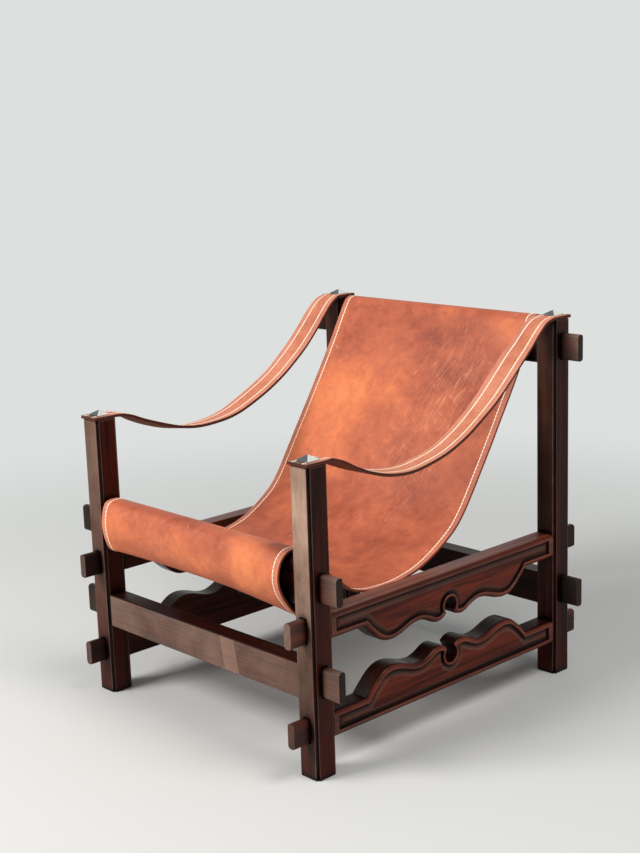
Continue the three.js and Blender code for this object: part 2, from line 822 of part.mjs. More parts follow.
function addPosts() {
  const ends = [
    { name: 'front', y: -postY, height: frontPostHeight, barTop: frontBarTop },
    { name: 'back', y: postY, height: backPostHeight, barTop: backBarTop },
  ];
  for (const side of sides) {
    const x = side.sign * postX;
    for (const end of ends) {
      const post = postBlank(x, end.y, end.height)
        .subtract(sideMortise(x, end.y, lowerRailBottom))
        .subtract(sideMortise(x, end.y, upperRailTop - railEndDepth))
        .subtract(crossMortise(x, end.y, stretcherTop, stretcherHeight - stretcherShoulder))
        .subtract(crossMortise(x, end.y, end.barTop - barTenonDrop, barTenonHeight))
        .subtract(studHoles(side, studDepthInPost + fitGap));
      addPiece(`post_${end.name}_${side.name}`, toGeometry(post), darkWood());
    }
  }
}

// Sling, its two bars and the tacks, which share their places
function addSlingAndBars() {
  const tackFace = crossRailThickness / 2 + fitGap + slingThickness;
  const frontTacks = tackPlaces(-postY + tackFace, frontFlapTop - tackInset);
  const backTacks = tackPlaces(postY + tackFace, backFlapBottom + tackInset);
  const holes = tackHoles([...frontTacks, ...backTacks]);
  const frontBar = slingBar(-postY, frontBarTop);
  const backBar = slingBar(postY, backBarTop);
  addPiece('front_sling_bar', toGeometry(frontBar.subtract(holes)), darkWood());
  addPiece('back_sling_bar', toGeometry(backBar.subtract(holes)), darkWood());
  addPiece('sling', toGeometry(slingSolid().subtract(holes)), cognacLeather());
  addTacks('front_sling_tack', frontTacks);
  addTacks('back_sling_tack', backTacks);
}

addPosts();
addSideRails();
addPiece('front_stretcher', toGeometry(stretcher(-postY)), darkWood());
addPiece('back_stretcher', toGeometry(stretcher(postY)), darkWood());
addSlingAndBars();
addArmStraps();
addStuds();

export default chair;
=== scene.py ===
import math

import bmesh
import bpy
from mathutils import Matrix, Vector, noise


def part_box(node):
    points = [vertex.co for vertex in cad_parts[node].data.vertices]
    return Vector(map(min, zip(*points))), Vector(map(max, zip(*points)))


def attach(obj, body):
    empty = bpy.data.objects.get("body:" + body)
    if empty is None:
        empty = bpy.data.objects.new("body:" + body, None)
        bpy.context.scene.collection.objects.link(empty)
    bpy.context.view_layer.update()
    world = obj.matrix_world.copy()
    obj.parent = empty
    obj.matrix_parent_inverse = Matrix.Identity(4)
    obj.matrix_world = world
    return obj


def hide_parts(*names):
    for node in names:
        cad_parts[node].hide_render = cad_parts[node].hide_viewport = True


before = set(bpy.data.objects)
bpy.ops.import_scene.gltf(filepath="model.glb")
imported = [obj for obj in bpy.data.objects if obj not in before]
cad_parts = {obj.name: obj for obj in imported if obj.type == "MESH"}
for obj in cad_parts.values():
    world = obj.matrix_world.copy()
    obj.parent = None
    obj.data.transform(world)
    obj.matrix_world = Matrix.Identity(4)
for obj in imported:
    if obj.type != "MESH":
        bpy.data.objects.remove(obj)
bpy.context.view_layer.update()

# Camera. It stands off the chair's front left corner, a little above the back rest,
# and is rolled slightly to one side, as it was for the photograph.
camera_azimuth = math.radians(46.696)
camera_height_angle = math.radians(12.403)
camera_roll = math.radians(-1.894)
camera_place = Vector((2.1803, -2.0758, 1.2139))

backwards = Vector((
    math.sin(camera_azimuth) * math.cos(camera_height_angle),
    -math.cos(camera_azimuth) * math.cos(camera_height_angle),
    math.sin(camera_height_angle),
))
level_right = Vector((math.cos(camera_azimuth), math.sin(camera_azimuth), 0))
level_up = backwards.cross(level_right)
tilted_right = level_right * math.cos(camera_roll) + level_up * math.sin(camera_roll)
tilted_up = level_up * math.cos(camera_roll) - level_right * math.sin(camera_roll)

lens = bpy.data.cameras.new("view_of_chair")
lens.lens = 63.01
camera = bpy.data.objects.new("view_of_chair", lens)
camera.matrix_world = Matrix.Translation(camera_place) @ Matrix((
    tilted_right, tilted_up, backwards,
)).transposed().to_4x4()
bpy.context.collection.objects.link(camera)
bpy.context.scene.camera = camera


# Studio: a plain pale floor, a large soft lamp at the chair's front right, a weaker one
# high on its left, and even air light. None of it is part of the chair.
def paint(code):
    """The linear colour of an sRGB hex value."""
    channels = [int(code[i:i + 2], 16) / 255 for i in (1, 3, 5)]
    return tuple(c / 12.92 if c <= 0.04045 else ((c + 0.055) / 1.055) ** 2.4 for c in channels) + (1,)


def add_node(tree, kind, values=None, links=None, stops=None, **settings):
    """One shader node: its settings, fixed inputs, incoming links and ramp stops. A socket
    goes by its name, or by its number where a node has several of one name."""
    node = tree.nodes.new(kind)
    for name, value in settings.items():
        setattr(node, name, value)
    for socket, value in (values or {}).items():
        node.inputs[socket].default_value = value
    for socket, source in (links or {}).items():
        tree.links.new(source, node.inputs[socket])
    if stops:
        ramp = node.color_ramp
        ramp.elements[0].position, ramp.elements[0].color = stops[0]
        ramp.elements[1].position, ramp.elements[1].color = stops[-1]
        for position, colour in stops[1:-1]:
            ramp.elements.new(position).color = colour
    return node


def new_material(name):
    """An empty material and its node tree."""
    material = bpy.data.materials.new(name)
    material.use_nodes = True
    material.node_tree.nodes.clear()
    return material, material.node_tree


def seen_directly(tree):
    """Whether a ray comes from the camera, straight or by way of metal or glass."""
    rays = add_node(tree, "ShaderNodeLightPath")
    gloss_or_glass = add_node(tree, "ShaderNodeMath", operation="MAXIMUM", links={
        0: rays.outputs["Is Glossy Ray"], 1: rays.outputs["Is Transmission Ray"]})
    seen = add_node(tree, "ShaderNodeMath", operation="MAXIMUM", links={
        0: rays.outputs["Is Camera Ray"], 1: gloss_or_glass.outputs[0]})
    return seen.outputs[0]


backdrop_colour = "#DDE0DE"
air = bpy.data.worlds.new("studio_air")
air.use_nodes = True
tree = air.node_tree
tree.nodes.clear()
fill = add_node(tree, "ShaderNodeBackground", {"Color": paint("#DDE6EA"), "Strength": 0.36})
backdrop = add_node(tree, "ShaderNodeBackground", {"Color": paint(backdrop_colour), "Strength": 1.0})
air_mix = add_node(tree, "ShaderNodeMixShader", links={
    0: seen_directly(tree), 1: fill.outputs[0], 2: backdrop.outputs[0]})
add_node(tree, "ShaderNodeOutputWorld", links={0: air_mix.outputs[0]})
bpy.context.scene.world = air
bpy.context.scene.view_settings.view_transform = "Standard"

chair_middle = Vector((0, 0, 0.4))
for lamp_name, lamp_place, lamp_size, lamp_power in (
    ("window_lamp", (-1.25, -3.35, 2.75), 2.0, 172),
    ("overhead_lamp", (1.9, 0.0, 3.2), 1.6, 56),
):
    light = bpy.data.lights.new(lamp_name, "AREA")
    light.shape = "DISK"
    light.size = lamp_size
    light.energy = lamp_power
    lamp = bpy.data.objects.new(lamp_name, light)
    lamp.location = lamp_place
    lamp.rotation_euler = (chair_middle - Vector(lamp_place)).to_track_quat("-Z", "Y").to_euler()
    bpy.context.collection.objects.link(lamp)

studio_floor, tree = new_material("matt_studio_floor")
surface = add_node(tree, "ShaderNodeBsdfPrincipled", {
    "Base Color": paint("#D6D4D0"), "Roughness": 0.9, "Specular IOR Level": 0.2})
# Well away from the chair the floor runs into the backdrop without a line
place = add_node(tree, "ShaderNodeTexCoord")
distance = add_node(tree, "ShaderNodeVectorMath", operation="LENGTH", links={0: place.outputs["Object"]})
far = add_node(tree, "ShaderNodeMapRange", {
    "From Min": 0.7, "From Max": 2.6}, {
    "Value": distance.outputs["Value"]}, interpolation_type="SMOOTHSTEP")
fade = add_node(tree, "ShaderNodeMath", operation="MULTIPLY", links={
    0: far.outputs[0], 1: seen_directly(tree)})
glow = add_node(tree, "ShaderNodeEmission", {"Color": paint(backdrop_colour), "Strength": 1.0})
floor_mix = add_node(tree, "ShaderNodeMixShader", links={
    0: fade.outputs[0], 1: surface.outputs[0], 2: glow.outputs[0]})
add_node(tree, "ShaderNodeOutputMaterial", links={0: floor_mix.outputs[0]})

mesh = bpy.data.meshes.new("studio_floor")
form = bmesh.new()
bmesh.ops.create_grid(form, x_segments=1, y_segments=1, size=14)
form.to_mesh(mesh)
form.free()
mesh.materials.append(studio_floor)
floor = bpy.data.objects.new("studio_floor", mesh)
bpy.context.collection.objects.link(floor)


# Posts. Four square posts of dark stained hardwood with a small step planed down every
# corner and mortises chopped right through for the rails' tenons. Their fronts are painted
# paler, as rubbed wear and as painted sheen, and their steps' fronts dark as painted shade.
under, over, mixed = 6, 7, 2  # A Mix node's two colours and its result


def stained_mahogany(name, grain, deep, warm, wear_and_painted_light, pale_heights, wear_and_light, graft=None):
    """Dark stained and waxed mahogany, sawn and hand planed: long fine pores along the
    grain, slow reddish bands, a low uneven wax sheen, edges and marked faces painted paler as
    wear and as painted highlight, sheen and reflection, and marked faces and crevices painted
    dark as shade. The pale share of the faces grows from the lower to the upper of the given
    heights, in metres."""
    material, tree = new_material(name)
    place = add_node(tree, "ShaderNodeTexCoord")
    # Pores are 0.4 mm wide in the wood, and drawn about 2 mm wide so that they show
    along = add_node(tree, "ShaderNodeMapping", {"Scale": grain}, {0: place.outputs["Object"]})
    pores = add_node(tree, "ShaderNodeTexNoise", {
        "Scale": 1.0, "Detail": 8.0, "Roughness": 0.62, "Distortion": 0.3}, {0: along.outputs[0]})
    bands = add_node(tree, "ShaderNodeTexNoise", {
        "Scale": 0.13, "Detail": 3.0, "Roughness": 0.5, "Distortion": 1.2}, {0: along.outputs[0]})
    blotches = add_node(tree, "ShaderNodeTexNoise", {
        "Scale": 9.0, "Detail": 4.0, "Roughness": 0.6}, {0: place.outputs["Object"]})
    grain_colour = add_node(tree, "ShaderNodeValToRGB", links={0: pores.outputs[0]}, stops=(
        (0.3, paint(deep)), (0.52, paint(warm)), (0.8, paint(deep))))
    band_share = add_node(tree, "ShaderNodeMapRange", {
        "From Min": 0.42, "From Max": 0.62}, {
        "Value": bands.outputs[0]})
    banded = add_node(tree, "ShaderNodeMix", data_type="RGBA", links={
        "Factor": band_share.outputs[0], under: grain_colour.outputs[0]}, values={over: paint(deep)})
    # Paler places, as rubbed wear and as painted sheen, highlight and reflection: the faces
    # marked in the mesh, broken up by blotches
    marked = add_node(tree, "ShaderNodeAttribute", attribute_name="wear_and_painted_light")
    patchy = add_node(tree, "ShaderNodeMapRange", {
        "From Min": 0.3, "From Max": 0.7, "To Min": 0.35, "To Max": 1.0}, {
        "Value": blotches.outputs[0]})
    where = add_node(tree, "ShaderNodeSeparateXYZ", links={0: place.outputs["Object"]})
    # Less of the pale share towards the bottom, up to the upper of the given heights
    height = add_node(tree, "ShaderNodeMapRange", {
        "From Min": pale_heights[0], "From Max": pale_heights[1], "To Min": 0.05, "To Max": 1.0}, {
        "Value": where.outputs["Z"]})
    pale_here = add_node(tree, "ShaderNodeMath", operation="MULTIPLY", links={
        0: height.outputs[0], 1: patchy.outputs[0]})
    pale_share = add_node(tree, "ShaderNodeMath", operation="MULTIPLY", links={
        0: marked.outputs["Fac"], 1: pale_here.outputs[0]})
    pale_grain = add_node(tree, "ShaderNodeMapRange", {
        "From Min": 0.3, "From Max": 0.6, "To Min": 0.72, "To Max": 1.0}, {
        "Value": pores.outputs[0]})
    pale_mask = add_node(tree, "ShaderNodeMath", operation="MULTIPLY", links={
        0: pale_share.outputs[0], 1: pale_grain.outputs[0]})
    paled = add_node(tree, "ShaderNodeMix", data_type="RGBA", links={
        "Factor": pale_mask.outputs[0], under: banded.outputs[mixed]}, values={over: paint(wear_and_painted_light)})
    colour = paled.outputs[mixed]
    if graft:
        # A slanted graft of paler wood let into the front face. Its middle is at graft_height
        graft_slant = 0.2
        graft_height = 0.18
        slant = add_node(tree, "ShaderNodeMath", operation="MULTIPLY_ADD", links={
            0: where.outputs["Z"]}, values={1: -graft_slant, 2: graft_slant * graft_height})
        shifted = add_node(tree, "ShaderNodeMath", operation="SUBTRACT", links={
            0: where.outputs["X"], 1: slant.outputs[0]})
        graft_start, graft_end = graft
        off_middle = add_node(tree, "ShaderNodeMath", operation="COMPARE", links={
            0: shifted.outputs[0]}, values={
            1: (graft_start + graft_end) / 2, 2: (graft_end - graft_start) / 2})
        grafted = add_node(tree, "ShaderNodeMath", operation="MULTIPLY", links={
            0: marked.outputs["Fac"], 1: off_middle.outputs[0]})
        graft_share = add_node(tree, "ShaderNodeMath", operation="MULTIPLY", links={
            0: grafted.outputs[0]}, values={1: 0.32})
        patched = add_node(tree, "ShaderNodeMix", data_type="RGBA", links={
            "Factor": graft_share.outputs[0], under: colour}, values={over: paint("#B08C78")})
        colour = patched.outputs[mixed]
    # Edges are painted paler where the surface turns within a few millimetres, as wear and as painted
    # highlight
    corner = add_node(tree, "ShaderNodeBevel", {"Radius": 0.004}, samples=4)
    plain = add_node(tree, "ShaderNodeNewGeometry")
    facing = add_node(tree, "ShaderNodeVectorMath", operation="DOT_PRODUCT", links={
        0: corner.outputs[0], 1: plain.outputs["Normal"]})
    edge = add_node(tree, "ShaderNodeMapRange", {
        "From Min": 0.99, "From Max": 0.84, "To Min": 0.0, "To Max": 0.85}, {
        "Value": facing.outputs["Value"]})
    edge_wear_and_highlight = add_node(tree, "ShaderNodeMath", operation="MULTIPLY", links={
        0: edge.outputs[0], 1: patchy.outputs[0]})
    edged = add_node(tree, "ShaderNodeMix", data_type="RGBA", links={
        "Factor": edge_wear_and_highlight.outputs[0], under: colour}, values={over: paint(wear_and_light)})
    # Painted shade: the faces marked in the mesh go almost black, and crevices are darkened by their
    # occlusion
    stain_and_painted_shade = add_node(tree, "ShaderNodeAttribute", attribute_name="stain_and_painted_shade")
    blackened = add_node(tree, "ShaderNodeMix", data_type="RGBA", links={
        "Factor": stain_and_painted_shade.outputs["Fac"], under: edged.outputs[mixed]}, values={over: paint("#0B0706")})
    crevice_shade = add_node(tree, "ShaderNodeAmbientOcclusion", {"Distance": 0.018}, samples=8)
    depth = add_node(tree, "ShaderNodeMapRange", {
        "From Min": 0.6, "From Max": 0.9, "To Min": 0.02, "To Max": 1.0}, {
        "Value": crevice_shade.outputs["AO"]})
    shaded = add_node(tree, "ShaderNodeMix", data_type="RGBA", blend_type="MULTIPLY", links={
        under: blackened.outputs[mixed], over: depth.outputs[0]}, values={"Factor": 1.0})
    gloss = add_node(tree, "ShaderNodeMapRange", {
        "From Min": 0.3, "From Max": 0.7, "To Min": 0.26, "To Max": 0.44}, {
        "Value": blotches.outputs[0]})
    relief = add_node(tree, "ShaderNodeBump", {"Strength": 0.35, "Distance": 0.0006}, {
        "Height": pores.outputs[0]})
    surface = add_node(tree, "ShaderNodeBsdfPrincipled", {
        "IOR": 1.5, "Specular IOR Level": 0.1}, {
        "Base Color": shaded.outputs[mixed], "Roughness": gloss.outputs[0],
        "Normal": relief.outputs[0]})
    add_node(tree, "ShaderNodeOutputMaterial", links={0: surface.outputs[0]})
    return material


tolerance = 0.00001


def merged_copy(node_name, is_plain=lambda place: True):
    """A CAD node's mesh as a bmesh, its doubles merged and its plain flat faces whole."""
    form = bmesh.new()
    form.from_mesh(bpy.data.objects[node_name].data)
    bmesh.ops.remove_doubles(form, verts=form.verts, dist=tolerance)
    plain = [vert for vert in form.verts if is_plain(vert.co)]
    flat = [edge for edge in form.edges if all(is_plain(vert.co) for vert in edge.verts)]
    bmesh.ops.dissolve_limit(form, angle_limit=math.radians(0.6), verts=plain, edges=flat)
    return form


def round_edges(form, edges, width, segments=2):
    """Rounds the given edges."""
    bmesh.ops.bevel(
        form, geom=edges, offset=width, offset_type="OFFSET", segments=segments,
        profile=0.5, affect="EDGES", clamp_overlap=True, material=-1)


def sharp_edges(form, angle=28):
    """The edges where two faces meet at more than an angle, in degrees."""
    limit = math.radians(angle)
    return [edge for edge in form.edges if edge.is_manifold and edge.calc_face_angle() > limit]


def finish_piece(name, form, material, slot, *nodes, smooth=40):
    """A bmesh as a finished piece on the chair's one body, in place of its CAD nodes. Edges
    sharper than smooth degrees stay crisp, or none where it is 0."""
    for edge in sharp_edges(form, smooth or 180):
        edge.smooth = False
    mesh = bpy.data.meshes.new(name)
    form.to_mesh(mesh)
    form.free()
    mesh.materials.append(material)
    mesh.polygons.foreach_set("use_smooth", [True] * len(mesh.polygons))
    piece = bpy.data.objects.new(name, mesh)
    bpy.context.collection.objects.link(piece)
    if smooth:
        weights = piece.modifiers.new("flat_faces_stay_flat", "WEIGHTED_NORMAL")
        weights.keep_sharp = True
    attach(piece, "root")
    if nodes:
        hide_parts(*nodes)
    return piece


def mark(form, name, share_at):
    """A share from 0 to 1 at every face corner, which the material reads by its name."""
    shares = form.loops.layers.float.new(name)
    for face in form.faces:
        for corner in face.loops:
            corner[shares] = share_at(face, corner.vert.co)


def faces_front(face):
    """Whether a face looks to the front of the chair."""
    return face.normal.y < -0.9


# How often the pattern of the pores repeats in a metre
across_grain = 330
along_grain = 14
upright_mahogany = stained_mahogany(
    "stained_mahogany_upright", (across_grain, across_grain, along_grain),
    deep="#200904", warm="#44130A", wear_and_painted_light="#C9A58E", pale_heights=(0.1, 0.5), wear_and_light="#94786C")
sanded_rounding = 0.0009
step_shade = 0.85

for post_name, front_wear_and_sheen in (
    ("post_front_left", 0.9), ("post_front_right", 0.33),
    ("post_back_left", 0.06), ("post_back_right", 0.06),
):
    form = merged_copy(post_name)
    # The post's own front face lies before this depth, and the steps at its corners behind it
    step_start = min(vert.co.y for vert in form.verts) + 0.002
    round_edges(form, sharp_edges(form), sanded_rounding)
    # The front face is painted paler, as wear and as painted sheen
    mark(form, "wear_and_painted_light", lambda face, place: front_wear_and_sheen * (faces_front(face) and place.y < step_start))
    # The steps' front faces are painted almost black, as painted shade
    mark(form, "stain_and_painted_shade", lambda face, place: step_shade * (faces_front(face) and place.y > step_start))
    finish_piece(f"{post_name}_wood", form, upright_mahogany, "dark_wood", post_name)


# Carved side rails. One board each with a scalloped edge, a keyhole, a bead, a groove
# and a raised panel cut into the outer face, and a through tenon at each end.
post_inner, post_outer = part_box("post_back_left")
post_centre = (post_inner + post_outer) / 2
mouth_depth = 0.0015
tenon_rounding = 0.0065
tip_rounding = 0.001


def round_tenons(form, axis):
    """Rounds the long edges of the two tenons, from just inside the mortise to the tip,
    and barely breaks the edges of the sawn tip."""
    mouth = post_outer[axis] - mouth_depth
    across = [other for other in range(3) if other != axis]
    for side in (-1, 1):
        outwards = Vector([side if i == axis else 0 for i in range(3)])
        bmesh.ops.bisect_plane(
            form, geom=[*form.verts, *form.edges, *form.faces], dist=tolerance,
            plane_co=outwards * mouth, plane_no=outwards)
        # The corners are made square first, so that the rounding has its full width
        outside = [vert for vert in form.verts if vert.co[axis] * side > mouth - tolerance]
        for other in across:
            low = min(vert.co[other] for vert in outside)
            high = max(vert.co[other] for vert in outside)
            for vert in outside:
                vert.co[other] = high if vert.co[other] > (low + high) / 2 else low
    bmesh.ops.remove_doubles(form, verts=form.verts, dist=tolerance)
    long_edges = [
        edge for edge in form.edges
        if all(abs(vert.co[axis]) > mouth - tolerance for vert in edge.verts)
        and all(abs(edge.verts[0].co[other] - edge.verts[1].co[other]) < tolerance for other in across)]
    round_edges(form, long_edges, tenon_rounding, 5)
    tip = max(abs(vert.co[axis]) for vert in form.verts) - tolerance
    rim = [edge for edge in sharp_edges(form) if all(abs(vert.co[axis]) > tip for vert in edge.verts)]
    round_edges(form, rim, tip_rounding)


def is_panel_bevel(face):
    """Whether a face is one of the raised panel's bevels, which rise at 27 degrees."""
    return 0.87 < abs(face.normal.x) < 0.92


at_every_height = (-1, 0)
lengthwise_mahogany = stained_mahogany(
    "stained_mahogany_lengthwise", (across_grain, along_grain, across_grain),
    deep="#3F160E", warm="#78301E", wear_and_painted_light="#7E6C62", pale_heights=at_every_height, wear_and_light="#A8543A")
# Depths below the outer face: the tops of the beads, where the groove starts, how much
# deeper its painted shade is full, and the whole carving
bead_top = 0.0006
groove_start = 0.0027
groove_fall = 0.0022
carving_depth = 0.008

# With each rail, how dark its front tip, and the sides of its front and back tenons, are painted as
# shade
for rail_name, tip_shade, front_shade, back_shade in (
    ("side_rail_upper_left", 0.0, 0.35, 0.85), ("side_rail_upper_right", 0.5, 0.85, 0.85),
    ("side_rail_lower_left", 0.5, 0.55, 0.55), ("side_rail_lower_right", 0.5, 0.85, 0.85),
):
    is_upper = "upper" in rail_name
    form = merged_copy(rail_name, lambda place: abs(place.y) > post_inner.y - mouth_depth)
    round_tenons(form, 1)
    outer = max(abs(vert.co.x) for vert in form.verts)
    plain_edge = (max if is_upper else min)(vert.co.z for vert in form.verts)

    def wear_and_light_at(face, place):
        # Tenons, bead tops and panel bevels are painted paler, as wear and as painted highlight
        if abs(place.y) > post_outer.y:
            return 0.9 if faces_front(face) else 0.4
        if abs(face.normal.x) > 0.6:
            return 0.32 * (abs(place.x) > outer - bead_top or is_panel_bevel(face))
        # The upper rail's top is painted paler most near the front, as wear and as painted reflection
        return (0.4 - place.y) * (is_upper and face.normal.z > 0.8)

    def stain_and_painted_shade_at(face, place):
        # The tenons are painted dark as shade, as the table above gives
        if abs(place.y) > post_centre.y:
            if faces_front(face):
                return tip_shade
            return front_shade if place.y < 0 else back_shade
        # The sawn edges, all but the plain one, are painted almost black
        is_sawn_edge = abs(face.normal.x) < 0.3
        if is_sawn_edge:
            return 0.9 * (abs(place.z - plain_edge) > 0.01)
        # The inner face is painted dark as shade
        is_inner_face = face.normal.x * place.x < 0
        if is_inner_face:
            return 0.65
        # The groove is painted dark as shade, and the panel's bevels less
        depth = outer - abs(place.x)
        sunk = min(1.0, max(0.0, (depth - groove_start) / groove_fall)) * (depth < carving_depth)
        return sunk * (0.3 if is_panel_bevel(face) else 0.85)

    mark(form, "wear_and_painted_light", wear_and_light_at)
    mark(form, "stain_and_painted_shade", stain_and_painted_shade_at)
    # The panel's bevels stay crisp, and the rounded beads are smooth
    for edge in form.edges:
        turns = [abs(face.normal.x) for face in edge.link_faces]
        beside_bevel = any(is_panel_bevel(face) for face in edge.link_faces)
        edge.smooth = not (beside_bevel and max(turns) - min(turns) > 0.03)
    finish_piece(f"{rail_name}_wood", form, lengthwise_mahogany, "dark_wood", rail_name, smooth=34)


# Stretchers and sling bars. Plain cross rails with through tenons, the two bars with a
# round top under the hide. The front stretcher is scuffed by heels and has a paler graft.
crosswise_mahogany = stained_mahogany(
    "stained_mahogany_crosswise", (along_grain, across_grain, across_grain),
    deep="#1E0806", warm="#4A150C", wear_and_painted_light="#83695C", pale_heights=at_every_height, wear_and_light="#96786A",
    graft=(0.074, 0.115))

for rail_name in ("front_stretcher", "back_stretcher", "front_sling_bar", "back_sling_bar"):
    form = merged_copy(rail_name)
    body_edges = [edge for edge in sharp_edges(form) if all(
        abs(vert.co.x) < post_centre.x for vert in edge.verts)]
    round_edges(form, body_edges, sanded_rounding)
    round_tenons(form, 0)
    scuffed = 0.85 if rail_name == "front_stretcher" else 0.0
    # How dark the back stretcher's tenon on the sitter's left is painted, as shade
    left_shade = 0.75 if rail_name == "back_stretcher" else 0.0

    def wear_and_light_at(face, place):
        # The tenons are painted paler on the sitter's left than on the right, as painted light
        if abs(place.x) > post_outer.x:
            return 0.8 if place.x > 0 else 0.35
        return scuffed * faces_front(face)

    def stain_and_painted_shade_at(face, place):
        # Painted shade: the tips, the tenons on the sitter's right and the back stretcher's on the left,
        # the bars and back stretcher all over, and the front stretcher's top as a painted shadow
        is_tip = abs(face.normal.x) > 0.9
        if is_tip:
            return 0.85
        if abs(place.x) > post_centre.x:
            return left_shade if place.x > 0 else 0.75
        return 0.6 * (scuffed == 0 or face.normal.z > 0.5)

    mark(form, "wear_and_painted_light", wear_and_light_at)
    mark(form, "stain_and_painted_shade", stain_and_painted_shade_at)
    finish_piece(f"{rail_name}_wood", form, crosswise_mahogany, "dark_wood", rail_name)


# Sling. One hide of thick saddle leather, waxed and scratched, that runs from a flap
# behind the front bar round a loose roll, over the bar, down the seat, up the back and
# over the back bar to a second flap. Its two long sides are edge stitched.
hide_half_width = 0.2725
hide_thickness = 0.0045
# The hide's outer face in millimetres, back and up: the flap, the roll, the bar and the
# front of the seat, and then the two sides of the seat and back, which hang differently
hide_start = (
    (-322.7, 385), (-322.7, 328), (-322.8, 304.9), (-335, 293), (-350, 303), (-369, 320.9),
    (-386, 344), (-393, 362.1), (-395, 378), (-391, 398), (-383, 412.9), (-368, 423.5),
    (-347.5, 424.8), (-339, 423.3), (-331.6, 419), (-300, 392), (-274.9, 366), (-231.9, 331),
    (-205.1, 311), (-170, 299.1), (-120, 294.5), (-75.1, 296.4),
)
hide_right_edge = hide_start + (
    (-13.9, 310.5), (50.2, 344.8), (86.5, 375.4), (149.8, 469.9), (211.1, 564.4),
    (271.1, 658.9), (326.1, 752.6), (332.5, 759.8), (342.5, 764.3), (353.4, 764.1),
    (363.2, 759.2), (369.9, 750.6), (372.3, 740), (372.3, 683),
)
hide_left_edge = hide_start + (
    (-11.2, 310.5), (57.4, 344.8), (97.3, 375.4), (167.8, 469.9), (230, 564.4),
    (287.3, 658.9), (324.6, 749.4), (330.3, 757.8), (340.2, 763.7), (351.6, 764.5),
    (362.2, 760), (369.6, 751.2), (372.3, 740), (372.3, 683),
)


def smooth_route(keys, steps):
    """Points on a smooth curve through the keys, steps to each span. The keys are in
    millimetres and the points in metres."""
    points = [Vector(key) / 1000 for key in keys]
    points = [points[0] * 2 - points[1], *points, points[-1] * 2 - points[-2]]
    route = []
    # Knots at the square roots of the spans keep the curve free of loops and overshoots
    for i in range(1, len(points) - 2):
        p0, p1, p2, p3 = points[i - 1:i + 3]
        t1 = (p1 - p0).length ** 0.5
        t2 = t1 + (p2 - p1).length ** 0.5
        t3 = t2 + (p3 - p2).length ** 0.5
        for step in range(steps):
            t = t1 + (t2 - t1) * step / steps
            a1 = p0 * (t1 - t) / t1 + p1 * t / t1
            a2 = p1 * (t2 - t) / (t2 - t1) + p2 * (t - t1) / (t2 - t1)
            a3 = p2 * (t3 - t) / (t3 - t2) + p3 * (t - t2) / (t3 - t2)
            b1 = a1 * (t2 - t) / t2 + a2 * t / t2
            b2 = a2 * (t3 - t) / (t3 - t1) + a3 * (t - t1) / (t3 - t1)
            route.append(b1 * (t2 - t) / (t2 - t1) + b2 * (t - t1) / (t2 - t1))
    return [*route, points[-2]]


hide_steps = 5
hide_right = smooth_route(hide_right_edge, hide_steps)
hide_left = smooth_route(hide_left_edge, hide_steps)
hide_run = [0.0]
for before, after in zip(hide_right, hide_right[1:]):
    hide_run.append(hide_run[-1] + (after - before).length)
hide_rows = len(hide_right) - 1


# Where the roll, the seat and the back are along the route, counted in its keys, and
# over how many keys their forms come and go
roll_middle, roll_reach = 3.6, 2.6
roll_end = 12
seat_start, seat_fade = 15, 1.5
back_end, back_fade = 27.6, 2.2
# How far the roll is drawn in at the sitter's right, as shares of its size below and
# before its axis
roll_axis_y, roll_axis_z = -0.374, 0.3215
drawn_up = 0.75
drawn_back = 0.43
# In metres: the droop of the roll, the waves of the hide and the curl of its long edges
roll_droop = 0.005
slow_wave = 0.0055
short_wave = 0.0016
left_curl = 0.004
right_curl = 0.001


def hide_point(across, row):
    """A point on the hide's outer face: across from -1 to 1, row along its route."""
    low = min(int(row), hide_rows - 1)
    part = row - low
    share = (across + 1) / 2
    y, z = (
        hide_right[low].lerp(hide_right[low + 1], part) * (1 - share)
        + hide_left[low].lerp(hide_left[low + 1], part) * share
    )
    key = row / hide_steps
    # The roll droops towards its ends, and the seat and the back are never quite flat
    in_roll = max(0.0, 1 - abs(key - roll_middle) / roll_reach)
    droop = roll_droop * in_roll * (1 - 2 * abs(across) ** 2.4)
    # The roll is fuller at the sitter's left than at the right
    tighter = (1 - across) / 2
    if key < roll_end:
        z += tighter * drawn_up * max(0.0, roll_axis_z - z)
        y += tighter * drawn_back * max(0.0, roll_axis_y - y)
    after_bar = min(1.0, max(0.0, (key - seat_start) / seat_fade))
    before_bar = min(1.0, max(0.0, (back_end - key) / back_fade))
    wave = noise.noise(Vector((across * 1.3, hide_run[low] * 2.6, 3.7))) * slow_wave
    wave += noise.noise(Vector((across * 3.4 + 5, hide_run[low] * 6.5, 1.2))) * short_wave
    curl = left_curl * max(0.0, across) ** 6 - right_curl * max(0.0, -across) ** 6
    lift = after_bar * before_bar * (wave + curl)
    return Vector((across * hide_half_width, y - lift * 0.75, z + droop + lift * 0.6))


def cut_sheet(rows, columns, place, width, length_at, tone_at, scuffed_at):
    """A sheet of hide, placed point by point, with its UV map in metres, its tone, which holds
    patina and painted light and shade, and how scratched it is."""
    form = bmesh.new()
    bmesh.ops.create_grid(form, x_segments=columns, y_segments=rows, size=0.5)
    cut = form.loops.layers.uv.new("cut")
    tone = form.verts.layers.float.new("tone")
    scuffed = form.verts.layers.float.new("scuffed")
    for face in form.faces:
        for corner in face.loops:
            u, v = corner.vert.co.x + 0.5, corner.vert.co.y + 0.5
            corner[cut].uv = (u * width, length_at(v * rows))
    for vert in form.verts:
        across, row = (vert.co.x + 0.5) * 2 - 1, (vert.co.y + 0.5) * rows
        vert[tone] = tone_at(across, row)
        vert[scuffed] = scuffed_at(across, row)
        vert.co = place(across, row)
    return form


def hide_run_at(row):
    """How far along the hide a row is, in metres."""
    low = min(int(row), hide_rows - 1)
    return hide_run[low] + (hide_run[low + 1] - hide_run[low]) * (row - low)


